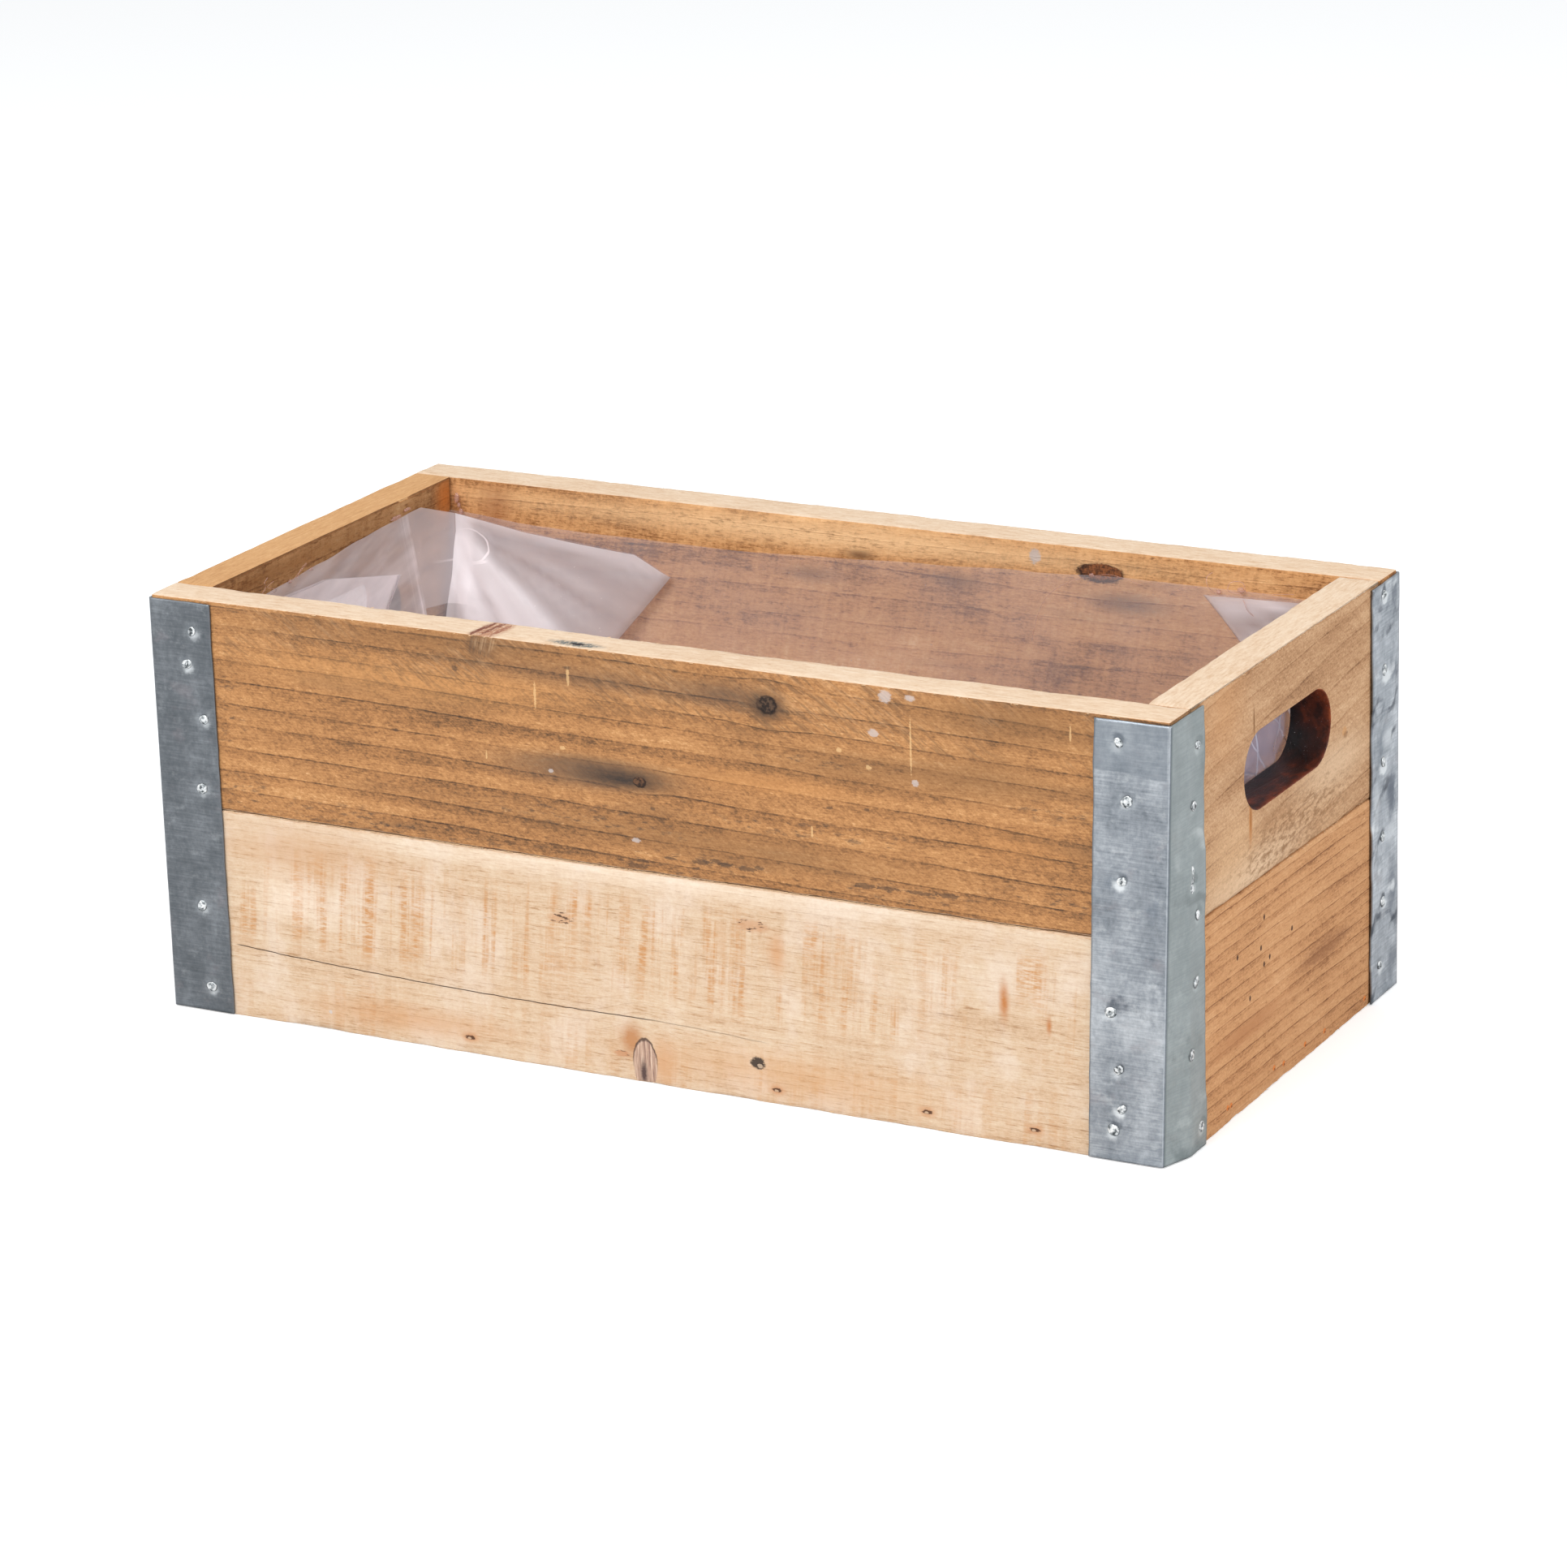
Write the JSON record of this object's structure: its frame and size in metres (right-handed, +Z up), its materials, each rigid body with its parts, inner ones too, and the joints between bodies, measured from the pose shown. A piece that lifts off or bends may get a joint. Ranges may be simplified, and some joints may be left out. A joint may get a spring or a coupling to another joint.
{
  "type": "wooden planter box",
  "caption": "Rectangular box of rough boards with bent metal corner straps nailed on, a hand hole in each end and a clear film liner folded inside.",
  "frame": {"origin": "middle of the underside, on the plane that the box stands on", "axes": "+X along the length, to the end seen in the picture; +Y from the front wall to the back wall; +Z up"},
  "size_m": [0.5042, 0.2522, 0.1969],
  "materials": {
    "aged_wood": "weathered, rough-sawn, matte",
    "pale_wood": "rough-sawn, matte",
    "zinc_sheet": "zinc-coated sheet, dull and scuffed",
    "nail_steel": "bright, hammered",
    "clear_film": "clear, creased, glossy"
  },
  "bodies": {
    "root": {"front_board_lower": "pale_wood", "front_board_upper": "aged_wood", "back_board_lower": "pale_wood", "back_board_upper": "aged_wood", "left_board_lower": "pale_wood", "left_board_upper": "aged_wood", "right_board_lower": "pale_wood", "right_board_upper": "aged_wood", "base_board_front": "pale_wood", "base_board_back": "pale_wood", "front_left_strap": "zinc_sheet", "front_right_strap": "zinc_sheet", "back_right_strap": "zinc_sheet", "back_left_strap": "zinc_sheet", "front_left_strap_nail_left_1": "nail_steel", "front_left_strap_nail_left_2": "nail_steel", "front_left_strap_nail_left_3": "nail_steel", "front_left_strap_nail_left_4": "nail_steel", "front_left_strap_nail_front_1": "nail_steel", "front_left_strap_nail_front_2": "nail_steel", "front_left_strap_nail_front_3": "nail_steel", "front_left_strap_nail_front_4": "nail_steel", "front_left_strap_nail_front_5": "nail_steel", "front_left_strap_nail_front_6": "nail_steel", "front_right_strap_nail_front_1": "nail_steel", "front_right_strap_nail_front_2": "nail_steel", "front_right_strap_nail_front_3": "nail_steel", "front_right_strap_nail_front_4": "nail_steel", "front_right_strap_nail_front_5": "nail_steel", "front_right_strap_nail_front_6": "nail_steel", "front_right_strap_nail_front_7": "nail_steel", "front_right_strap_nail_right_1": "nail_steel", "front_right_strap_nail_right_2": "nail_steel", "front_right_strap_nail_right_3": "nail_steel", "front_right_strap_nail_right_4": "nail_steel", "front_right_strap_nail_right_5": "nail_steel", "front_right_strap_nail_right_6": "nail_steel", "front_right_strap_nail_right_7": "nail_steel", "back_right_strap_nail_right_1": "nail_steel", "back_right_strap_nail_right_2": "nail_steel", "back_right_strap_nail_right_3": "nail_steel", "back_right_strap_nail_right_4": "nail_steel", "back_right_strap_nail_right_5": "nail_steel", "back_right_strap_nail_right_6": "nail_steel", "back_right_strap_nail_back_1": "nail_steel", "back_right_strap_nail_back_2": "nail_steel", "back_right_strap_nail_back_3": "nail_steel", "back_right_strap_nail_back_4": "nail_steel", "back_left_strap_nail_back_1": "nail_steel", "back_left_strap_nail_back_2": "nail_steel", "back_left_strap_nail_back_3": "nail_steel", "back_left_strap_nail_back_4": "nail_steel", "back_left_strap_nail_left_1": "nail_steel", "back_left_strap_nail_left_2": "nail_steel", "back_left_strap_nail_left_3": "nail_steel", "back_left_strap_nail_left_4": "nail_steel", "film_liner": "clear_film"}
  },
  "joints": []
}
